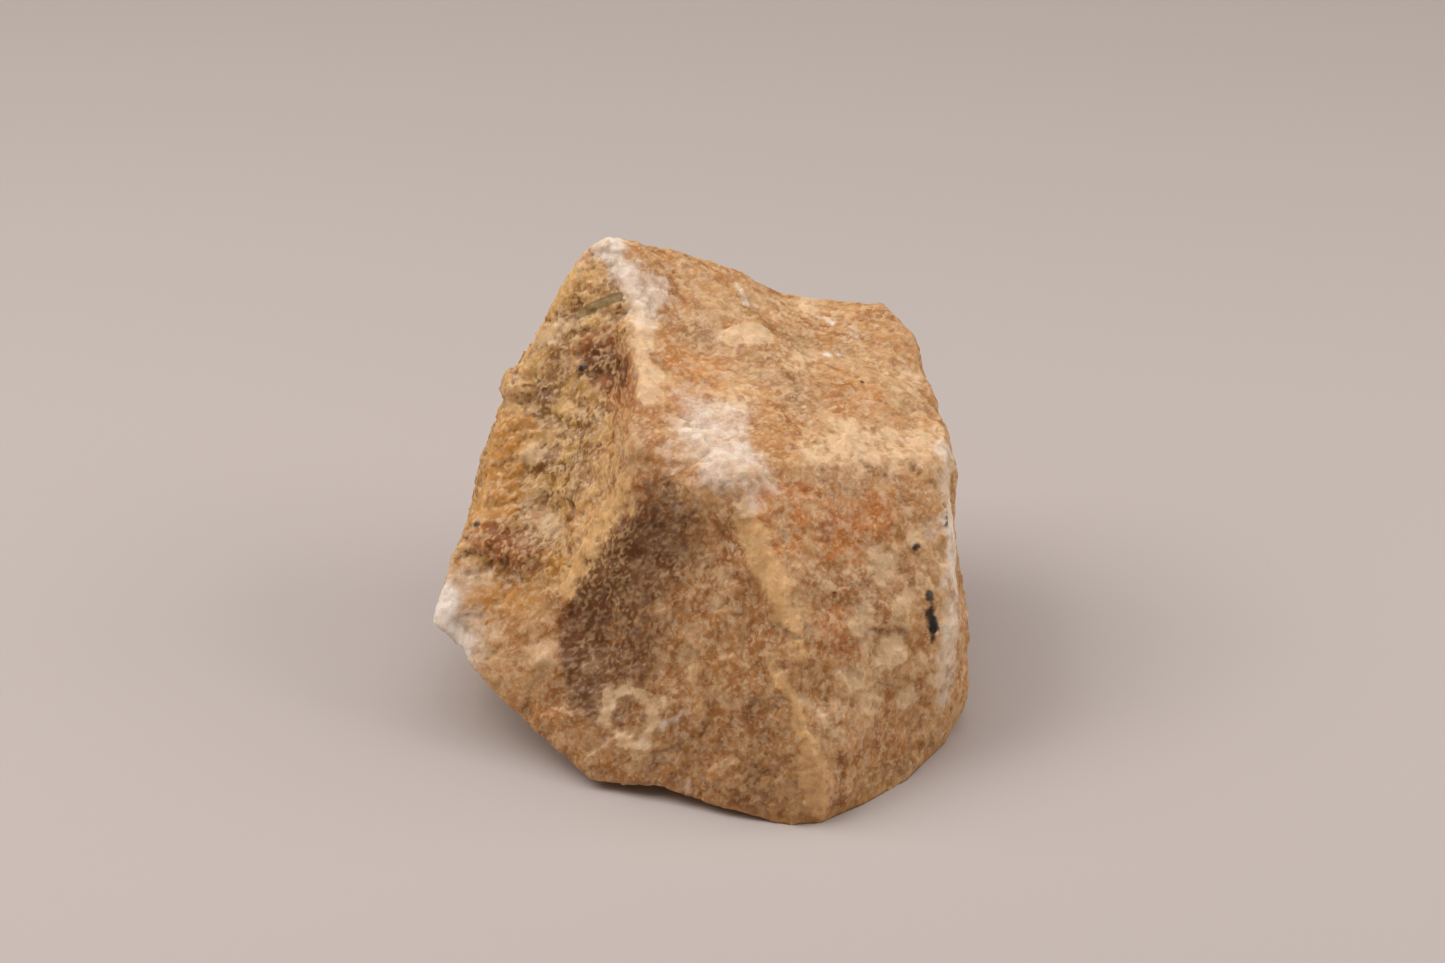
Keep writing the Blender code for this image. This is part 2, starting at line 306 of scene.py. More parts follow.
    *streak(Mineral.VEIN, 1.5, 0.85, (8.5, -20.0, 27.0), (10.5, -22.0, 23.0), (11.0, -23.5, 20.0)),
    *streak(Mineral.VEIN, 1.2, 0.85, (7.5, -23.0, 19.5), (8.5, -24.0, 18.0), (10.5, -25.5, 15.5)),
    *streak(Mineral.VEIN, 1.3, 0.85, (10.5, -25.5, 15.5), (11.5, -27.0, 12.5), (12.5, -28.5, 9.5)),
    *streak(Mineral.VEIN, 2.6, 0.7, (12.5, -28.5, 8.5), (13.5, -29.0, 3.0)),
    # The back and the right side, which are broken like the front.
    *streak(Mineral.BRUISE, 3.0, 0.5, (-20.0, 18.0, 41.0), (-16.0, 17.5, 46.5), (-11.0, 19.5, 49.5)),
    *spots(Mineral.BRUISE, 4.0, 0.5, (23.5, 22.5, 37.5), (-27.5, 14.0, 18.5), (24.5, 24.0, 10.0)),
    *streak(Mineral.BRUISE, 0.9, 0.7, (2.0, 28.0, 35.0), (5.5, 28.0, 32.0), (7.0, 28.5, 29.0)),
    *spots(Mineral.CREAM, 5.0, 0.6, (2.0, 28.0, 31.0), (-12.0, 25.0, 18.0), (28.5, 13.0, 13.0)),
    *spots(Mineral.CREAM, 3.4, 0.7, (14.0, 28.0, 12.0), (18.0, 26.0, 31.0), (-23.0, 17.0, 9.0)),
    *spots(Mineral.AMBER, 5.5, 0.7, (-26.0, 13.0, 9.0), (-19.0, 21.0, 31.0)),
    *spots(Mineral.AMBER, 9.0, 0.45, (30.0, 6.0, 20.0)),
    *spots(Mineral.CREAM, 3.4, 0.75, (29.0, 3.0, 26.0), (30.5, 1.0, 21.0), (29.0, 16.0, 19.0)),
    *streak(Mineral.UMBER, 5.0, 0.5, (31.5, 0.0, 7.0), (30.5, 7.0, 9.0), (29.5, 13.0, 7.0)),
    *spots(Mineral.ORANGE, 5.5, 0.8, (-4.0, 27.5, 13.0), (24.0, 23.5, 23.0), (10.0, 26.0, 37.5)),
    *streak(Mineral.UMBER, 4.0, 0.7, (11.0, 27.0, 5.0), (3.0, 28.0, 9.0), (-3.0, 27.5, 8.0)),
    *streak(Mineral.UMBER, 3.4, 0.7, (-24.0, 15.0, 28.0), (-22.0, 18.5, 24.0), (-17.5, 22.0, 25.0)),
    *spots(Mineral.RUST, 3.0, 0.7, (-8.0, 27.0, 29.0), (20.0, 26.0, 17.0), (30.0, 1.0, 11.0)),
    *spots(Mineral.ASH, 4.5, 0.7, (-18.0, 21.0, 14.0), (28.5, 12.0, 27.0), (9.0, 28.5, 21.0)),
    *streak(Mineral.DRAB, 7.0, 0.6, (-22.0, 13.0, 38.0), (-27.5, 8.0, 24.0)),
    *streak(Mineral.VEIN, 1.8, 0.8, (-1.0, 25.5, 39.0), (-3.0, 28.0, 30.0), (-8.0, 27.5, 20.0),
            (-9.0, 25.5, 9.0)),
]

@dataclass(frozen=True)
class BlackGrain:
    """A black grain at the surface.

    Attributes:
        start: Where one end of it is, in millimetres.
        end: Where its other end is, in millimetres.
        reach: How far it reaches from the line between them, in millimetres.
    """

    start: Triple
    end: Triple
    reach: float


BLACK_GRAINS: tuple[BlackGrain, ...] = (
    BlackGrain((26.5, -13.0, 21.5), (27.0, -15.0, 16.5), 0.55),
    BlackGrain((26.5, -14.0, 19.5), (27.0, -14.5, 18.0), 0.80),
    BlackGrain((28.0, -5.5, 29.5), (28.5, -6.0, 28.5), 0.35),
    BlackGrain((28.5, -6.5, 28.0), (28.5, -7.5, 26.5), 0.40),
    BlackGrain((25.0, -10.5, 26.5), (25.0, -10.5, 26.5), 0.50),
    BlackGrain((-14.5, 8.0, 40.0), (-14.0, 8.0, 40.0), 0.45),
    BlackGrain((-27.0, -1.0, 23.5), (-27.0, -1.0, 23.5), 0.50),
    BlackGrain((19.0, 7.0, 38.5), (19.0, 7.0, 38.5), 0.40),
    BlackGrain((-14.0, 25.0, 29.0), (-13.5, 25.0, 28.0), 0.45),
    BlackGrain((20.0, 25.5, 18.0), (21.0, 25.0, 14.5), 0.45),
    BlackGrain((29.5, 9.0, 28.5), (29.5, 8.5, 27.0), 0.40),
)


@dataclass(frozen=True)
class Break:
    """One scale of the broken surface: cells that each tilt and stand a little proud or sunk.

    Attributes:
        size: Width of a cell, in millimetres.
        tilt: Slope of a cell's face, as rise over run.
        lift: How far a cell stands proud or sunk, in millimetres.
        warp: How far the cells' borders wander, in millimetres.
        seed: Where in the endless pattern this stone was cut from.
        bend: Width of one bend of the borders, in cells.
        lean_limit: The most that a tilt moves a point, in lifts.
        border: Width of the border between two cells, in millimetres.
    """

    size: float
    tilt: float
    lift: float
    warp: float
    seed: float
    bend: float = 0.6
    lean_limit: float = 2.5
    border: float = 0.35


@dataclass(frozen=True)
class Terraces:
    """One scale of cleavage: thin layers that end in small steps, one above another.

    Attributes:
        size: Width of a stack of layers, in millimetres.
        layers: How many layers come off over a stack.
        rise: Height of each step, in millimetres.
        seed: Where in the endless pattern this stone was cut from.
        riser: The part of a layer that its step takes up.
        edge: The parts of a layer over which its pale edge comes, and over which it goes.
    """

    size: float
    layers: float
    rise: float
    seed: float
    riser: float = 0.18
    edge: tuple[Span, Span] = ((0.02, 0.14), (0.16, 0.40))


@dataclass(frozen=True)
class Swell:
    """Rounded lumps and dents, with finer ones on them.

    Attributes:
        size: Width of the widest lumps, in millimetres.
        depth: How far they stand out, in millimetres.
        fall: How much weaker each finer lump is than the one it sits on.
        step: How many times finer it is.
        sizes: How many sizes of lump are added up.
        seed: Where in the endless pattern this stone was cut from.
    """

    size: float
    depth: float
    fall: float
    step: float
    sizes: int = 3
    seed: Triple = (0.0, 0.0, 0.0)

    def heights(self, places: np.ndarray) -> np.ndarray:
        """Give the height of the lumps at each place, from about -1 to 1.

        Args:
            places: One row of x, y and z for each place.

        Returns:
            The height at each place, to be multiplied by the depth.
        """
        shift = Vector(self.seed)
        return np.array([noise.fractal(Vector(place) / self.size + shift, self.fall, self.step, self.sizes)
                         for place in places])


@dataclass(frozen=True)
class ProudFlake:
    """A big flake that stands out of the surface.

    Attributes:
        middle: Where it is, in millimetres.
        reach: How far it spreads from there, in millimetres.
        height: How far it stands out, in millimetres.
        flat: The part of its reach that is flat.
    """

    middle: Triple
    reach: float
    height: float
    flat: float = 0.6


@dataclass
class Surface:
    """The fine skin of the stone, as arrays.

    Attributes:
        places: Where each point is, in millimetres.
        normals: Which way the skin faces at each point.
        edges: The two points that each edge joins.
    """

    places: np.ndarray
    normals: np.ndarray
    edges: np.ndarray

    def along_sheets(self) -> np.ndarray:
        """Give the places with the distance through the crystals' sheets stretched."""
        square = np.array(BEDDING)
        return self.places + (FLATNESS - 1.0) * (self.places @ square)[:, None] * square

    def average(self, values: np.ndarray, passes: int) -> np.ndarray:
        """Blend each point's values with its neighbours', several times over.

        Args:
            values: One row of values for each point.
            passes: How many times to blend.

        Returns:
            The blended values.
        """
        first, second = self.edges[:, 0], self.edges[:, 1]
        count = np.bincount(self.edges.ravel(), minlength=len(values)).astype(float)
        table = values.reshape(len(values), -1).astype(float)
        for _ in range(passes):
            total = np.empty_like(table)
            for column in range(table.shape[1]):
                there = np.bincount(first, table[second, column], minlength=len(table))
                back = np.bincount(second, table[first, column], minlength=len(table))
                total[:, column] = (there + back) / count
            table = 0.5 * (table + total)
        return table.reshape(values.shape)

    def stand_out(self, passes: int) -> np.ndarray:
        """Say how far each point stands out of its blended surroundings, in millimetres."""
        return np.einsum("ij,ij->i", self.places - self.average(self.places, passes), self.normals)


def cell_values(seeds: np.ndarray, salt: float) -> np.ndarray:
    """Give each cell its own number between 0 and 1, worked out from the place of its seed."""
    mixed = np.sin(seeds @ np.array(CELL_MIX) + salt) * CELL_SPREAD
    return mixed - np.floor(mixed)


def sway(places: np.ndarray, octaves: int) -> np.ndarray:
    """Give each place a smooth sway, the same in every run.

    Args:
        places: One row for each place, scaled so that the widest sways are about one unit across.
        octaves: How many sizes of sway are added up.

    Returns:
        One row of x, y and z for each place, each from about -1 to 1.
    """
    shifts = [Vector(shift) for shift in SWAY_SHIFTS]
    starts = [Vector(place) for place in places]
    return np.array([[noise.turbulence(start + shift, octaves, False) for shift in shifts]
                     for start in starts])


@dataclass
class CalciteLump:
    """The whole stone, as one piece that stands for the CAD lump.

    Attributes:
        node: Name of the CAD node that it stands for.
        weld: How close two corners of the CAD lump are when they are joined, in millimetres.
        skin_pitch: Spacing of the points of the fine skin, in millimetres.
        settle: How far each point of the new skin moves towards its neighbours, each time.
        settle_passes: How many times it does.
        facets: Breaks a few crystals wide.
        cleavage: Steps between cleavage layers, highest in the hollow.
        flakes: Cleavage flakes of single crystals.
        grains: The sugary grains.
        lumps: Small lumps and dents.
        chips: Chips along the arrises.
        step_strength: How strong the cleavage steps are, and how much stronger in the hollow.
        flake_strength: How strong the flakes are, and how much stronger in the hollow.
        worn_away: The part of the breaks that a worn ridge has lost.
        proud_flakes: The big flakes that stand out.
        ragged: How far the small lumps push a big flake's outline, in millimetres.
        arris_sharpening: How much further each arris stands out than in the CAD lump.
        arris_passes: How many blends an arris is measured against.
        wear_passes: How many blends a worn ridge is measured against.
        wear_rise: How far a ridge stands out when it starts to wear, and when it's worn right down, in
            millimetres.
        hollow_side: How far left of the middle the hollow starts, and is full, in millimetres.
        hollow_height: How high up it starts, and is full, in millimetres.
        foot: How high up the breaks start, and are full, in millimetres.
        wander: How far a mineral's border strays, and the width of one bend in it, in millimetres.
        roam: The same, for a big patch of powder, whose border strays further.
        big_powder: The reach past which a patch of powder is big, in millimetres.
        painted_foot_glow: How much amber is painted on the thin foot as glow, for the light that comes
            through it, from 0 to 1.
        painted_foot_glow_height: How high up that painted glow is full, and how high up it ends, in
            millimetres.
        recess_shade: How much painted shade a recess gets for each millimetre of its depth.
        recess_shade_passes: How many blends a recess is measured against.
        minerals: Where each mineral shows.
    """

    node: str = "calcite_stone"
    weld: float = 0.001
    skin_pitch: float = 0.40
    settle: float = 0.5
    settle_passes: int = 8
    facets: Break = Break(size=8.0, tilt=0.06, lift=0.08, warp=1.4, seed=11.0)
    cleavage: tuple[Terraces, ...] = (Terraces(size=9.0, layers=4.0, rise=0.20, seed=29.0),
                                      Terraces(size=4.0, layers=3.0, rise=0.09, seed=83.0))
    flakes: Break = Break(size=2.2, tilt=0.10, lift=0.05, warp=0.7, seed=47.0)
    grains: Swell = Swell(size=0.8, depth=0.045, fall=0.6, step=2.1)
    lumps: Swell = Swell(size=3.6, depth=0.13, fall=0.9, step=2.0)
    chips: Swell = Swell(size=1.5, depth=0.32, fall=0.8, step=2.2)
    step_strength: Span = (0.5, 0.2)
    flake_strength: Span = (0.8, 1.2)
    worn_away: float = 0.6
    proud_flakes: tuple[ProudFlake, ...] = (
        ProudFlake((-22.5, 9.8, 36.8), 2.8, 0.75), ProudFlake((-17.0, 11.8, 43.2), 1.6, 0.35),
        ProudFlake((5.5, 9.8, 43.8), 3.2, 0.35), ProudFlake((-19.5, -13.5, 12.8), 1.6, 0.30),
        ProudFlake((22.0, -17.5, 14.5), 3.0, 0.25), ProudFlake((-26.5, -2.5, 22.0), 1.8, 0.4))
    ragged: float = 0.3
    arris_sharpening: float = 0.9
    arris_passes: int = 40
    wear_passes: int = 60
    wear_rise: Span = (0.10, 0.55)
    hollow_side: Span = (7.0, 11.0)
    hollow_height: Span = (17.0, 22.0)
    foot: Span = (0.1, 1.8)
    wander: Span = (0.9, 2.5)
    roam: Span = (2.5, 5.0)
    big_powder: float = 3.0
    painted_foot_glow: float = 0.4
    painted_foot_glow_height: Span = (0.5, 3.5)
    recess_shade: float = 1.8
    recess_shade_passes: int = 5
    minerals: list[Patch] = field(default_factory=lambda: MINERALS)

    def build(self) -> bpy.types.Object:
        """Make the stone, break its surface, and lay its minerals.

        Returns:
            The finished stone, without its material.
        """
        stone = self.copy_of_lump()
        surface = self.read_surface(stone)
        wear = smooth_step(surface.stand_out(self.wear_passes), *self.wear_rise)
        tone, plate, rim = self.break_surface(stone, surface, wear)
        surface = self.read_surface(stone)
        self.lay_minerals(stone, surface, wear, tone, plate, rim)
        return stone

    def copy_of_lump(self) -> bpy.types.Object:
        """Copy the CAD lump, join its triangles, and give it a fine even skin.

        Returns:
            The copy, with its skin but without a material.
        """
        choose_only(frame["nodes"][self.node])
        bpy.ops.object.duplicate()
        stone = bpy.context.active_object
        stone.name = "calcite_lump"
        stone.data.name = "calcite_lump"
        bpy.ops.object.parent_clear(type="CLEAR_KEEP_TRANSFORM")
        for mark in [key for key in stone.keys() if key.startswith("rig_")]:
            del stone[mark]
        bpy.ops.object.mode_set(mode="EDIT")
        bpy.ops.mesh.select_all(action="SELECT")
        bpy.ops.mesh.remove_doubles(threshold=self.weld * MM)
        bpy.ops.object.mode_set(mode="OBJECT")
        stone.data.materials.clear()
        stone.data.remesh_voxel_size = self.skin_pitch * MM
        bpy.ops.object.voxel_remesh()
        settle = stone.modifiers.new("settle", "SMOOTH")
        settle.factor = self.settle
        settle.iterations = self.settle_passes
        bpy.ops.object.modifier_apply(modifier=settle.name)
        bpy.ops.object.shade_smooth()
        return stone

    def read_surface(self, stone: bpy.types.Object) -> Surface:
        """Read the stone's skin as arrays.

        Args:
            stone: The stone to read.

        Returns:
            Its points, normals and edges.
        """
        mesh = stone.data
        places = np.empty(len(mesh.vertices) * 3, np.float32)
        normals = np.empty(len(mesh.vertices) * 3, np.float32)
        edges = np.empty(len(mesh.edges) * 2, np.int32)
        mesh.vertices.foreach_get("co", places)
        mesh.vertex_normals.foreach_get("vector", normals)
        mesh.edges.foreach_get("vertices", edges)
        return Surface(places.reshape(-1, 3) / MM, normals.reshape(-1, 3), edges.reshape(-1, 2))

    def break_up(self, surface: Surface, scale: Break) -> tuple[np.ndarray, np.ndarray, np.ndarray]:
        """Work out one scale of the broken surface.

        Args:
            surface: The skin to break.
            scale: The cells' size, tilt and lift.

        Returns:
            How far each point moves out, the number of the cell it is in, and how near it is to the
            cell's border, from 0 inside to 1 on it.
        """
        nearest = np.empty_like(surface.places)
        gap = np.empty(len(surface.places))
        shift = Vector((scale.seed, 2.0 * scale.seed, -scale.seed))
        sheets = surface.along_sheets()
        swayed = sheets + scale.warp * sway(sheets / (scale.bend * scale.size) + np.array(shift), octaves=2)
        for row, place in enumerate(swayed):
            away, seeds = noise.voronoi(Vector(place) / scale.size + shift)
            nearest[row] = (seeds[0] - shift) * scale.size
            gap[row] = (away[1] - away[0]) * scale.size
        lift = scale.lift * (2.0 * cell_values(nearest, salt=1.0) - 1.0)
        tilt = np.stack([2.0 * cell_values(nearest, salt) - 1.0 for salt in (2.0, 3.0, 4.0)], axis=1)
        lean = scale.tilt * np.einsum("ij,ij->i", tilt, sheets - nearest)
        most = scale.lean_limit * scale.lift
        border = 1.0 - smooth_step(gap, 0.0, scale.border)
        return lift + np.clip(lean, -most, most), cell_values(nearest, salt=5.0), border

    def cleave(self, surface: Surface, terraces: Terraces) -> tuple[np.ndarray, np.ndarray]:
        """Work out one scale of cleavage steps.

        Args:
            surface: The skin to cleave.
            terraces: The layers' width, number and height.

        Returns:
            How far each point moves out, and how near it is to the edge of its layer, from 0 to 1.
        """
        stack = Swell(size=terraces.size, depth=terraces.layers, fall=0.8, step=2.1, sizes=4,
                      seed=(terraces.seed, -terraces.seed, 3.0 * terraces.seed))
        height = stack.depth * stack.heights(surface.along_sheets())
        part = height - np.floor(height)
        outward = terraces.rise * (smooth_step(part, 0.0, terraces.riser) - part)
        comes, goes = terraces.edge
        return outward, smooth_step(part, *comes) * (1.0 - smooth_step(part, *goes))

    def hollow(self, surface: Surface) -> np.ndarray:
        """Say how far into the hollow on the left each point is, from 0 to 1."""
        left = smooth_step(-surface.places[:, 0], *self.hollow_side)
        return left * smooth_step(surface.places[:, 2], *self.hollow_height)

    def break_surface(self, stone: bpy.types.Object, surface: Surface,
                      wear: np.ndarray) -> tuple[np.ndarray, np.ndarray, np.ndarray]:
        """Break the skin into facets, flakes and grains.

        Args:
            stone: The stone whose points move.
            surface: Its skin before it is broken.
            wear: How worn each point is, from 0 to 1.

        Returns:
            The tone of the spot that each point is in, the tone of its flake, and how near it is to the
            flake's border.
        """
        coarse, coarse_tone, _ = self.break_up(surface, self.facets)
        steps, edges = zip(*(self.cleave(surface, terraces) for terraces in self.cleavage))
        fine, fine_tone, rim = self.break_up(surface, self.flakes)
        grains = self.grains.heights(surface.places)
        lumps = self.lumps.heights(surface.along_sheets())
        chips = np.abs(self.chips.heights(surface.places))
        hollow = self.hollow(surface)
        # The breaks are sharpest in the sheltered hollow, and dullest on the worn ridges.
        sharp = 1.0 - self.worn_away * wear
        step_strength = self.step_strength[0] + self.step_strength[1] * hollow
        flake_strength = self.flake_strength[0] + self.flake_strength[1] * hollow
        outward = sharp * (coarse + step_strength * sum(steps) + flake_strength * fine)
        outward += self.grains.depth * grains + self.lumps.depth * lumps - self.chips.depth * wear * chips
        pushed = surface.places + self.ragged * lumps[:, None]
        for flake in self.proud_flakes:
            away = np.linalg.norm(pushed - np.array(flake.middle), axis=1)
            outward += flake.height * (1.0 - smooth_step(away, flake.flat * flake.reach, flake.reach))
        outward *= smooth_step(surface.places[:, 2], *self.foot)
        arrises = surface.places - surface.average(surface.places, self.arris_passes)
        moved = surface.places + surface.normals * outward[:, None] + self.arris_sharpening * arrises
        moved[:, 2] = np.maximum(moved[:, 2], 0.0)
        stone.data.vertices.foreach_set("co", (moved * MM).astype(np.float32).ravel())
        stone.data.update()
        # A spot takes its tone from its flake more than from its facet, and the edge of a step is twice as
        # pale as the edge of a flake.
        spot_tone = 0.4 * coarse_tone + 0.6 * fine_tone
        edge = np.maximum(0.5 * rim, np.maximum(*edges))
        return spot_tone, fine_tone, edge

    def lay_minerals(self, stone: bpy.types.Object, surface: Surface, wear: np.ndarray,
                     tone: np.ndarray, plate: np.ndarray, rim: np.ndarray) -> None:
        """Write where each mineral shows, how worn and flaky the surface is, and where shade and glow are
        painted, as attributes.

        Args:
            stone: The stone that gets the attributes.
            surface: Its broken skin.
            wear: How worn each point is.
            tone: The tone of the spot that each point is in.
            plate: The tone of the flake that each point is in.
            rim: How near each point is to a flake's border.
        """
        (wander, wander_width), (roam, roam_width) = self.wander, self.roam
        wandering = surface.places + wander * sway(surface.places / wander_width, octaves=3)
        roaming = wandering + roam * sway(surface.places / roam_width, octaves=2)
        layers = {mineral.value: np.zeros(len(wandering)) for mineral in Mineral}
        for patch in self.minerals:
            name = patch.mineral.value
            places = wandering
            if patch.mineral is Mineral.OLIVE:
                places = surface.places
            elif patch.mineral is Mineral.BRUISE and patch.reach > self.big_powder:
                places = roaming
            layers[name] = np.maximum(layers[name], patch.cover(places))
        # Painted glow: the thin foot is painted amber for the light that comes through it, in the same layer
        # as the clear amber calcite.
        foot = self.painted_foot_glow * (1.0 - smooth_step(surface.places[:, 2], *self.painted_foot_glow_height))
        layers["amber"] = np.maximum(layers["amber"], foot)
        layers["wear"] = wear
        # Painted shade: the deeper a point sits below its surroundings, the darker its colour is painted.
        layers["sunk"] = np.clip(0.5 - self.recess_shade * surface.stand_out(self.recess_shade_passes), 0.0, 1.0)
        layers["tone"] = tone
        layers["plate"] = plate
        layers["hollow"] = self.hollow(surface)
        # The rim layer also places a painted highlight along flake and step edges.
        layers["rim"] = rim
        for name, values in layers.items():
            layer = stone.data.attributes.new(name, "FLOAT", "POINT")
            layer.data.foreach_set("value", values.astype(np.float32))


@dataclass(frozen=True)
class Layer:
    """One colour, laid over the colours before it.

    Attributes:
        where: Name of the attribute or the pattern that says where it shows.
        colour: Its sRGB hex colour.
        low: The value at which it starts to show.
        high: The value at which it covers most.
        top: How much it covers there, from 0 to 1.
        broken: Name of the pattern that breaks up its border, or nothing.
        within: Name of the pattern or attribute that it fades with, or nothing.
    """

    where: str
    colour: str
    low: float
    high: float
    top: float
    broken: str = ""
    within: str = ""


# Cloudy variation in the stone: size in millimetres, finer sizes in it, and how strong those are.
CLOUDS: dict[str, tuple[float, float, float]] = {
    "broad": (9.0, 3.0, 0.55),
    "middle": (3.0, 4.0, 0.60),
    "small": (1.0, 4.0, 0.62),
    "grit": (0.35, 2.0, 0.60),
    "milk": (3.6, 5.0, 0.66),
    "fleck": (1.1, 3.5, 0.64),
    "scorch": (2.0, 4.0, 0.62),
    "patchy": (5.0, 3.0, 0.60),
    "powder": (2.2, 5.0, 0.62),
}

# The patterns that take no notice of the sheets that the crystals grew in.
LOOSE: tuple[str, ...] = ("grit", "powder", "fleck", "crystals_1")

# Crystals that each have their own shade, by their width in millimetres.
CRYSTALS: dict[str, float] = {"crystals_5": 4.6, "crystals_2": 2.0, "crystals_1": 0.8}

# The width of one bend in the crystals' borders, in millimetres.
BORDER_BEND = 1.6

# Round pale grains, by the width in millimetres of the room that each has.
GRAINS: dict[str, float] = {"sugar_1": 1.25, "sugar_2": 0.75}

# Patterns made of the ones above, by the share that each has in them.
MIXTURES: dict[str, dict[str, float]] = {
    "body": {"broad": 0.34, "middle": 0.24, "small": 0.10, "crystals_5": 0.10, "crystals_2": 0.09,
             "crystals_1": 0.05, "tone": 0.08},
    "ragged": {"middle": 0.45, "small": 0.25, "crystals_1": 0.10, "crystals_2": 0.20},
    "sandy": {"small": 0.40, "grit": 0.20, "crystals_1": 0.40},
    "haze": {"powder": 0.60, "middle": 0.15, "crystals_1": 0.15, "small": 0.10},
    "speckle": {"crystals_1": 0.45, "small": 0.30, "crystals_2": 0.15, "grit": 0.10},
    "blotch": {"crystals_5": 0.55, "middle": 0.30, "small": 0.15},
    "flake": {"crystals_2": 0.50, "middle": 0.25, "small": 0.25},
    "grain": {"crystals_1": 0.45, "grit": 0.30, "small": 0.15, "crystals_2": 0.10},
    "relief": {"small": 0.45, "grit": 0.25, "crystals_1": 0.30},
}

LAYERS: tuple[Layer, ...] = (
    Layer("drab", "82561A", 0.5, 1.4, 0.88, "ragged"),
    Layer("orange", "BF712A", 0.5, 1.3, 0.88, "ragged"),
    Layer("ash", "98805C", 0.6, 1.4, 0.65, "ragged"),
    # Milky blotches and flakes all through the stone, and a few iron-brown ones between them.
    Layer("blotch", "C89B68", 0.60, 0.72, 0.45),
    Layer("flake", "CEA577", 0.60, 0.70, 0.70, "", "patchy"),
    Layer("scorch", "864C1C", 0.64, 0.84, 0.22),
    Layer("milk", "CFA97E", 0.62, 0.72, 0.50),
    Layer("fleck", "D8B48E", 0.58, 0.66, 0.90, "", "patchy"),
    Layer("plate", "CFA05A", 0.64, 0.68, 0.60, "", "hollow"),
    Layer("plate", "7E5016", 0.28, 0.24, 0.45, "", "hollow"),
    # This amber layer also carries the painted glow of the thin foot and the thin left rim.
    Layer("amber", "C0802A", 0.5, 1.2, 0.85, "ragged"),
    Layer("rust", "98501A", 0.6, 1.3, 0.75, "ragged"),
    Layer("sugar_1", "CFA87E", 0.25, 0.65, 0.50),
    Layer("sugar_2", "D9B690", 0.30, 0.70, 0.45),
    Layer("umber", "663406", 0.50, 1.10, 0.90, "speckle"),
    Layer("cream", "D8B084", 0.40, 1.30, 0.50, "ragged"),
    Layer("cream", "E0BE96", 0.92, 1.16, 0.55, "haze"),
    Layer("vein", "DCAD74", 0.65, 1.10, 0.85, "ragged"),
    # Thin flake and step edges are paler, partly as painted highlight where they catch the light, and worn
    # ridges are paler.
    Layer("rim", "E0BE92", 0.1, 0.9, 0.50, "", "small"),
    Layer("rim", "DDB478", 0.3, 0.9, 0.35, "", "hollow"),
    Layer("wear", "DBB486", 0.0, 1.0, 0.50, "", "middle"),
    # Painted shade: the recesses are darkened, and more so in the hollow.
    Layer("sunk", "764216", 0.52, 0.95, 0.22),
    Layer("sunk", "6E3E14", 0.54, 0.90, 0.35, "", "hollow"),
    Layer("bruise", "D9C2AC", 0.05, 1.10, 0.60),
    Layer("bruise", "E8DACC", 0.50, 1.70, 0.80, "haze"),
    Layer("olive", "7A6234", 0.3, 0.7, 0.80),
)


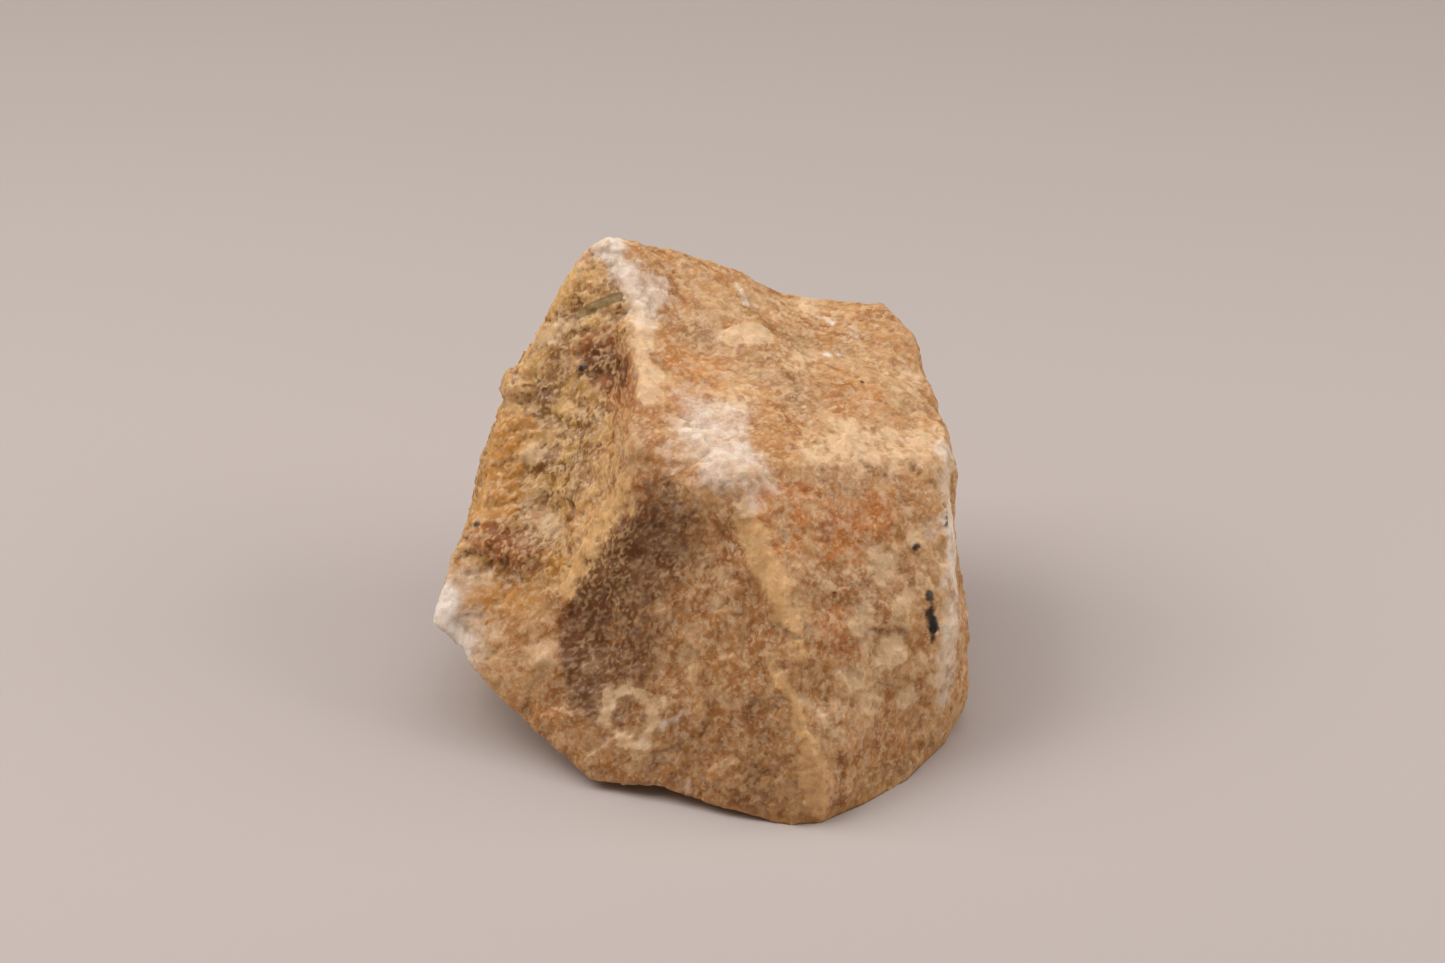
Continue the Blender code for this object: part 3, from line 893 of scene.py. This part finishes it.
@dataclass(frozen=True)
class BrokenCalcite:
    """Honey calcite, broken by hand and a little worn by handling.

    Calcite grains are clear to milky, so light goes a few millimetres in and comes out warm. Iron turns
    them from straw to brown. A fresh break has glossy flakes, and a knock leaves matt white powder.

    Attributes:
        body: The colours of the stone under its minerals, each with its place from dark to pale.
        black: The colour of the black grains.
        grain_shade: How dark the darkest grain is and how bright the brightest, against the rest.
        ior: Calcite's lower index of refraction, of its two.
        specular: How strong its gloss is. The grains break it up, so it's below the usual half.
        glow: How much of the light goes in, from 0 to 1.
        glow_colour: How far red, green and blue light go in, against the depth.
        glow_depth: How deep light goes in, in millimetres.
        roughness: The roughness of the smoothest grain, and how much rougher the roughest is.
        powder_roughness: How much rougher crushed powder is.
        glint: How much smoother a flake is that faces the light.
        glinting: The crystals that glint: the values at which they start to, and all do.
        relief: Height of the grains that are too fine for the mesh, in millimetres.
    """

    body: tuple[tuple[float, str], ...] = ((0.13, "8A5022"), (0.37, "A26833"), (0.55, "B67E45"),
                                           (0.79, "C49056"))
    black: str = "241C18"
    grain_shade: Span = (0.84, 1.14)
    ior: float = 1.49
    specular: float = 0.32
    glow: float = 0.60
    glow_colour: Triple = (1.0, 0.6, 0.35)
    glow_depth: float = 1.2
    roughness: Span = (0.36, 0.35)
    powder_roughness: float = 0.3
    # glint: How much smoother a glinting crystal is.
    glint: float = 0.30
    glinting: Span = (0.84, 0.86)
    relief: float = 0.14

    def dress(self, stone: bpy.types.Object) -> None:
        """Give the stone its material.

        Args:
            stone: The stone, with its minerals laid.
        """
        material = bpy.data.materials.new("broken_honey_calcite")
        material.use_nodes = True
        tree = material.node_tree
        tree.nodes.clear()
        place = add_node(tree, "TexCoord").outputs["Object"]
        place = add_node(tree, "VectorMath", {"operation": "SCALE", "Scale": 1.0 / MM}, {0: place}).outputs[0]
        patterns = self.grow_patterns(tree, place)
        stops = [(at, linear(code)) for at, code in self.body]
        colour = add_node(tree, "ValToRGB", {"stops": stops}, {"Fac": patterns["body"]}).outputs[0]
        for layer in LAYERS:
            colour = self.lay(tree, patterns, colour, layer)
        # Single grains catch the light or swallow it.
        grain = add_node(tree, "MapRange", {"From Min": 0.2, "From Max": 0.8, "To Min": self.grain_shade[0],
                                            "To Max": self.grain_shade[1]},
                         {"Value": patterns["grain"]}).outputs[0]
        colour = add_node(tree, "VectorMath", {"operation": "SCALE"}, {0: colour, "Scale": grain}).outputs[0]
        for black_grain in BLACK_GRAINS:
            colour = self.blacken(tree, patterns, colour, place, black_grain)
        # A clean break shines, and crushed powder doesn't.
        smoothest, rougher = self.roughness
        dull = add_node(tree, "Math", {"operation": "MULTIPLY_ADD", 1: rougher, 2: smoothest},
                        {0: patterns["grain"]}).outputs[0]
        dull = add_node(tree, "Math", {"operation": "MULTIPLY_ADD", 1: self.powder_roughness},
                        {0: patterns["bruise"], 2: dull}).outputs[0]
        glint = add_node(tree, "MapRange", {"From Min": self.glinting[0], "From Max": self.glinting[1],
                                            "To Max": -self.glint},
                         {"Value": patterns["crystals_1"]}).outputs[0]
        dull = add_node(tree, "Math", {"operation": "ADD"}, {0: dull, 1: glint}).outputs[0]
        bump = add_node(tree, "Bump", {"Strength": 0.6, "Distance": self.relief * MM},
                        {"Height": patterns["relief"]}).outputs[0]
        skin = add_node(tree, "BsdfPrincipled", {
            "IOR": self.ior, "Specular IOR Level": self.specular, "Subsurface Weight": self.glow,
            "Subsurface Radius": self.glow_colour, "Subsurface Scale": self.glow_depth * MM,
        }, {"Base Color": colour, "Roughness": dull, "Normal": bump})
        add_node(tree, "OutputMaterial", {}, {"Surface": skin.outputs[0]})
        stone.data.materials.append(material)

    def grow_patterns(self, tree: bpy.types.NodeTree,
                      place: bpy.types.NodeSocket) -> dict[str, bpy.types.NodeSocket]:
        """Make every pattern in the stone: attributes, clouds, crystals and mixtures of them.

        Args:
            tree: The material's node tree.
            place: Position in the stone, in millimetres.

        Returns:
            Each pattern's value by its name, from about 0 to 1.
        """
        patterns = {}
        minerals = [mineral.value for mineral in Mineral]
        for name in minerals + ["wear", "sunk", "tone", "plate", "rim", "hollow"]:
            patterns[name] = add_node(tree, "Attribute", {"attribute_name": name}).outputs["Fac"]
        turn = Vector((0.0, 0.0, 1.0)).rotation_difference(Vector(BEDDING)).to_euler()
        sheets = add_node(tree, "Mapping", {"vector_type": "TEXTURE", "Rotation": turn,
                                            "Scale": (1.0, 1.0, 1.0 / FLATNESS)},
                          {"Vector": place}).outputs[0]
        for name, (size, detail, rough) in CLOUDS.items():
            cloud = add_node(tree, "TexNoise", {"Scale": 1.0 / size, "Detail": detail, "Roughness": rough,
                                                "Distortion": 0.3},
                             {"Vector": place if name in LOOSE else sheets}).outputs["Fac"]
            patterns[name] = add_node(tree, "MapRange", {"From Min": 0.25, "From Max": 0.75},
                                      {"Value": cloud}).outputs[0]
        # The crystals' borders wander by about a third of their width.
        stray = add_node(tree, "TexNoise", {"Scale": 1.0 / BORDER_BEND, "Detail": 3.0},
                         {"Vector": sheets}).outputs["Color"]
        for name, size in CRYSTALS.items():
            swayed = add_node(tree, "VectorMath", {"operation": "MULTIPLY_ADD", 1: (0.6 * size,) * 3},
                              {0: stray, 2: place if name in LOOSE else sheets}).outputs[0]
            cells = add_node(tree, "TexVoronoi", {"Scale": 1.0 / size}, {"Vector": swayed}).outputs["Color"]
            patterns[name] = add_node(tree, "SeparateColor", {}, {0: cells}).outputs[0]
        for name, size in GRAINS.items():
            cells = add_node(tree, "TexVoronoi", {"Scale": 1.0 / size}, {"Vector": place})
            shade = add_node(tree, "SeparateColor", {}, {0: cells.outputs["Color"]}).outputs[0]
            near = add_node(tree, "MapRange", {"From Min": 0.60, "From Max": 0.10},
                            {"Value": cells.outputs["Distance"]}).outputs[0]
            patterns[name] = add_node(tree, "Math", {"operation": "MULTIPLY"}, {0: near, 1: shade}).outputs[0]
        for name, shares in MIXTURES.items():
            (first, share), *others = shares.items()
            total = add_node(tree, "Math", {"operation": "MULTIPLY", 1: share},
                             {0: patterns[first]}).outputs[0]
            for part, share in others:
                total = add_node(tree, "Math", {"operation": "MULTIPLY_ADD", 1: share},
                                 {0: patterns[part], 2: total}).outputs[0]
            patterns[name] = total
        return patterns

    def lay(self, tree: bpy.types.NodeTree, patterns: dict[str, bpy.types.NodeSocket],
            under: bpy.types.NodeSocket, layer: Layer) -> bpy.types.NodeSocket:
        """Lay one colour over the ones before it.

        Args:
            tree: The material's node tree.
            patterns: Every pattern's value by its name.
            under: The colour so far.
            layer: What goes over it.

        Returns:
            The colour with the layer over it.
        """
        shown = patterns[layer.where]
        if layer.broken:
            shown = add_node(tree, "Math", {"operation": "ADD"},
                             {0: shown, 1: patterns[layer.broken]}).outputs[0]
        shown = add_node(tree, "MapRange", {"interpolation_type": "SMOOTHSTEP", "From Min": layer.low,
                                            "From Max": layer.high, "To Max": layer.top},
                         {"Value": shown}).outputs[0]
        if layer.within:
            shown = add_node(tree, "Math", {"operation": "MULTIPLY"},
                             {0: shown, 1: patterns[layer.within]}).outputs[0]
        return add_node(tree, "Mix", {"data_type": "RGBA", 7: linear(layer.colour)},
                        {0: shown, 6: under}).outputs[2]

    def blacken(self, tree: bpy.types.NodeTree, patterns: dict[str, bpy.types.NodeSocket],
                under: bpy.types.NodeSocket, place: bpy.types.NodeSocket,
                grain: BlackGrain) -> bpy.types.NodeSocket:
        """Set one black grain in the stone.

        Args:
            tree: The material's node tree.
            patterns: Every pattern's value by its name.
            under: The colour so far.
            place: Position in the stone, in millimetres.
            grain: The grain to set.

        Returns:
            The colour with the grain in it.
        """
        run = Vector(grain.end) - Vector(grain.start)
        share_of_run = run / max(run.length_squared, 0.01)
        there = add_node(tree, "VectorMath", {"operation": "SUBTRACT", 1: Vector(grain.start)},
                         {0: place}).outputs[0]
        along = add_node(tree, "VectorMath", {"operation": "DOT_PRODUCT", 1: share_of_run},
                         {0: there}).outputs["Value"]
        along = add_node(tree, "Clamp", {}, {0: along}).outputs[0]
        nearest = add_node(tree, "VectorMath", {"operation": "SCALE", 0: run}, {"Scale": along}).outputs[0]
        away = add_node(tree, "VectorMath", {"operation": "DISTANCE"},
                        {0: there, 1: nearest}).outputs["Value"]
        # The sandy pattern breaks up the grain's outline.
        away = add_node(tree, "Math", {"operation": "MULTIPLY_ADD", 1: grain.reach},
                        {0: patterns["sandy"], 2: away}).outputs[0]
        shown = add_node(tree, "MapRange", {"interpolation_type": "SMOOTHSTEP", "From Min": 1.7 * grain.reach,
                                            "From Max": grain.reach, "To Max": 0.92},
                         {"Value": away}).outputs[0]
        return add_node(tree, "Mix", {"data_type": "RGBA", 7: linear(self.black)},
                        {0: shown, 6: under}).outputs[2]


@dataclass(frozen=True)
class PaleBoard:
    """Painted board, pale and warm, with a matt face that shows nothing but the shadow.

    Attributes:
        paint: The colour of the paint.
        roughness: How matt it is.
        specular: How little it shines.
    """

    paint: str = "BAAEA7"
    roughness: float = 0.9
    specular: float = 0.2

    def dress(self, board: bpy.types.Object) -> None:
        """Give the board its material.

        Args:
            board: The board to paint.
        """
        material = bpy.data.materials.new("matt_painted_board")
        material.use_nodes = True
        tree = material.node_tree
        tree.nodes.clear()
        face = add_node(tree, "BsdfPrincipled", {"Base Color": linear(self.paint),
                                                 "Roughness": self.roughness,
                                                 "Specular IOR Level": self.specular})
        add_node(tree, "OutputMaterial", {}, {"Surface": face.outputs[0]})
        board.data.materials.append(material)


@dataclass(frozen=True)
class Light:
    """A soft square light.

    Attributes:
        name: What it's called.
        place: Where it hangs, in millimetres.
        width: The width of its face, in millimetres.
        power: Its power, in watts.
        tint: The colour of its light.
    """

    name: str
    place: Triple
    width: float
    power: float
    tint: str


@dataclass
class Studio:
    """A plain pale floor, soft light from above, and the camera.

    Attributes:
        floor_width: Width of the floor, in millimetres.
        lights: The soft lights over the stone.
        aim: What the lights face, in millimetres.
        room_tint: The colour of the even light in the room.
        room_light: How strong that is.
        eye: Where the camera stands, in millimetres.
        look_down: How far the camera looks below the horizon, in degrees.
        lens: Focal length, in millimetres.
        film_width: Width of the film that the focal length is meant for, in millimetres.
        nearest: How near the camera can see, in millimetres.
    """

    floor_width: float = 4000.0
    lights: tuple[Light, ...] = (
        Light("left_window", (-290.0, -10.0, 380.0), width=320.0, power=1.4, tint="FFFDFB"),
        Light("right_window", (360.0, -20.0, 280.0), width=280.0, power=0.85, tint="FFFDFB"),
        Light("ceiling", (0.0, 30.0, 430.0), width=400.0, power=0.93, tint="EBF2FE"))
    aim: Triple = (0.0, 0.0, 20.0)
    room_tint: str = "F9EEDF"
    room_light: float = 0.22
    eye: Triple = (2.3, -377.4, 264.8)
    look_down: float = 32.0
    lens: float = 92.93
    film_width: float = 36.0
    nearest: float = 10.0

    def lay_floor(self) -> bpy.types.Object:
        """Lay the floor that the stone rests on.

        Returns:
            The floor.
        """
        bpy.ops.object.select_all(action="DESELECT")
        bpy.ops.mesh.primitive_plane_add(size=self.floor_width * MM, location=(0.0, 0.0, 0.0))
        floor = bpy.context.active_object
        floor.name = "floor"
        PaleBoard().dress(floor)
        return floor

    def hang_light(self, light: Light) -> None:
        """Hang one light so that it faces the stone.

        Args:
            light: The light to hang.
        """
        bpy.ops.object.select_all(action="DESELECT")
        bpy.ops.object.light_add(type="AREA", location=Vector(light.place) * MM)
        lamp = bpy.context.active_object
        lamp.name = light.name
        lamp.data.size = light.width * MM
        lamp.data.energy = light.power
        lamp.data.color = linear(light.tint)[:3]
        facing = Vector(self.aim) - Vector(light.place)
        lamp.rotation_euler = facing.to_track_quat("-Z", "Y").to_euler()

    def light_room(self) -> None:
        """Fill the room with even light."""
        world = bpy.data.worlds.new("room")
        world.use_nodes = True
        background = world.node_tree.nodes["Background"]
        background.inputs["Color"].default_value = linear(self.room_tint)
        background.inputs["Strength"].default_value = self.room_light
        bpy.context.scene.world = world

    def stand_camera(self) -> None:
        """Stand the camera in front of the stone."""
        bpy.ops.object.select_all(action="DESELECT")
        bpy.ops.object.camera_add(location=Vector(self.eye) * MM,
                                  rotation=(math.radians(90.0 - self.look_down), 0.0, 0.0))
        camera = bpy.context.active_object
        camera.name = "camera"
        camera.data.sensor_width = self.film_width
        camera.data.lens = self.lens
        camera.data.clip_start = self.nearest * MM
        bpy.context.scene.camera = camera

    def build(self) -> None:
        """Set up the floor, the lights and the camera."""
        self.lay_floor()
        for light in self.lights:
            self.hang_light(light)
        self.light_room()
        self.stand_camera()
        bpy.context.scene.view_settings.view_transform = "Standard"


def main() -> None:
    """Build the stone and the studio around it."""
    logging.basicConfig(level=logging.INFO, format="%(message)s")
    lump = CalciteLump()
    stone = lump.build()
    BrokenCalcite().dress(stone)
    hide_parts(lump.node)
    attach(stone, "root")
    log.info("calcite lump: %d points, %d faces", len(stone.data.vertices), len(stone.data.polygons))
    Studio().build()
    log.info("studio: floor, lights and camera")


if __name__ == "__main__":
    main()
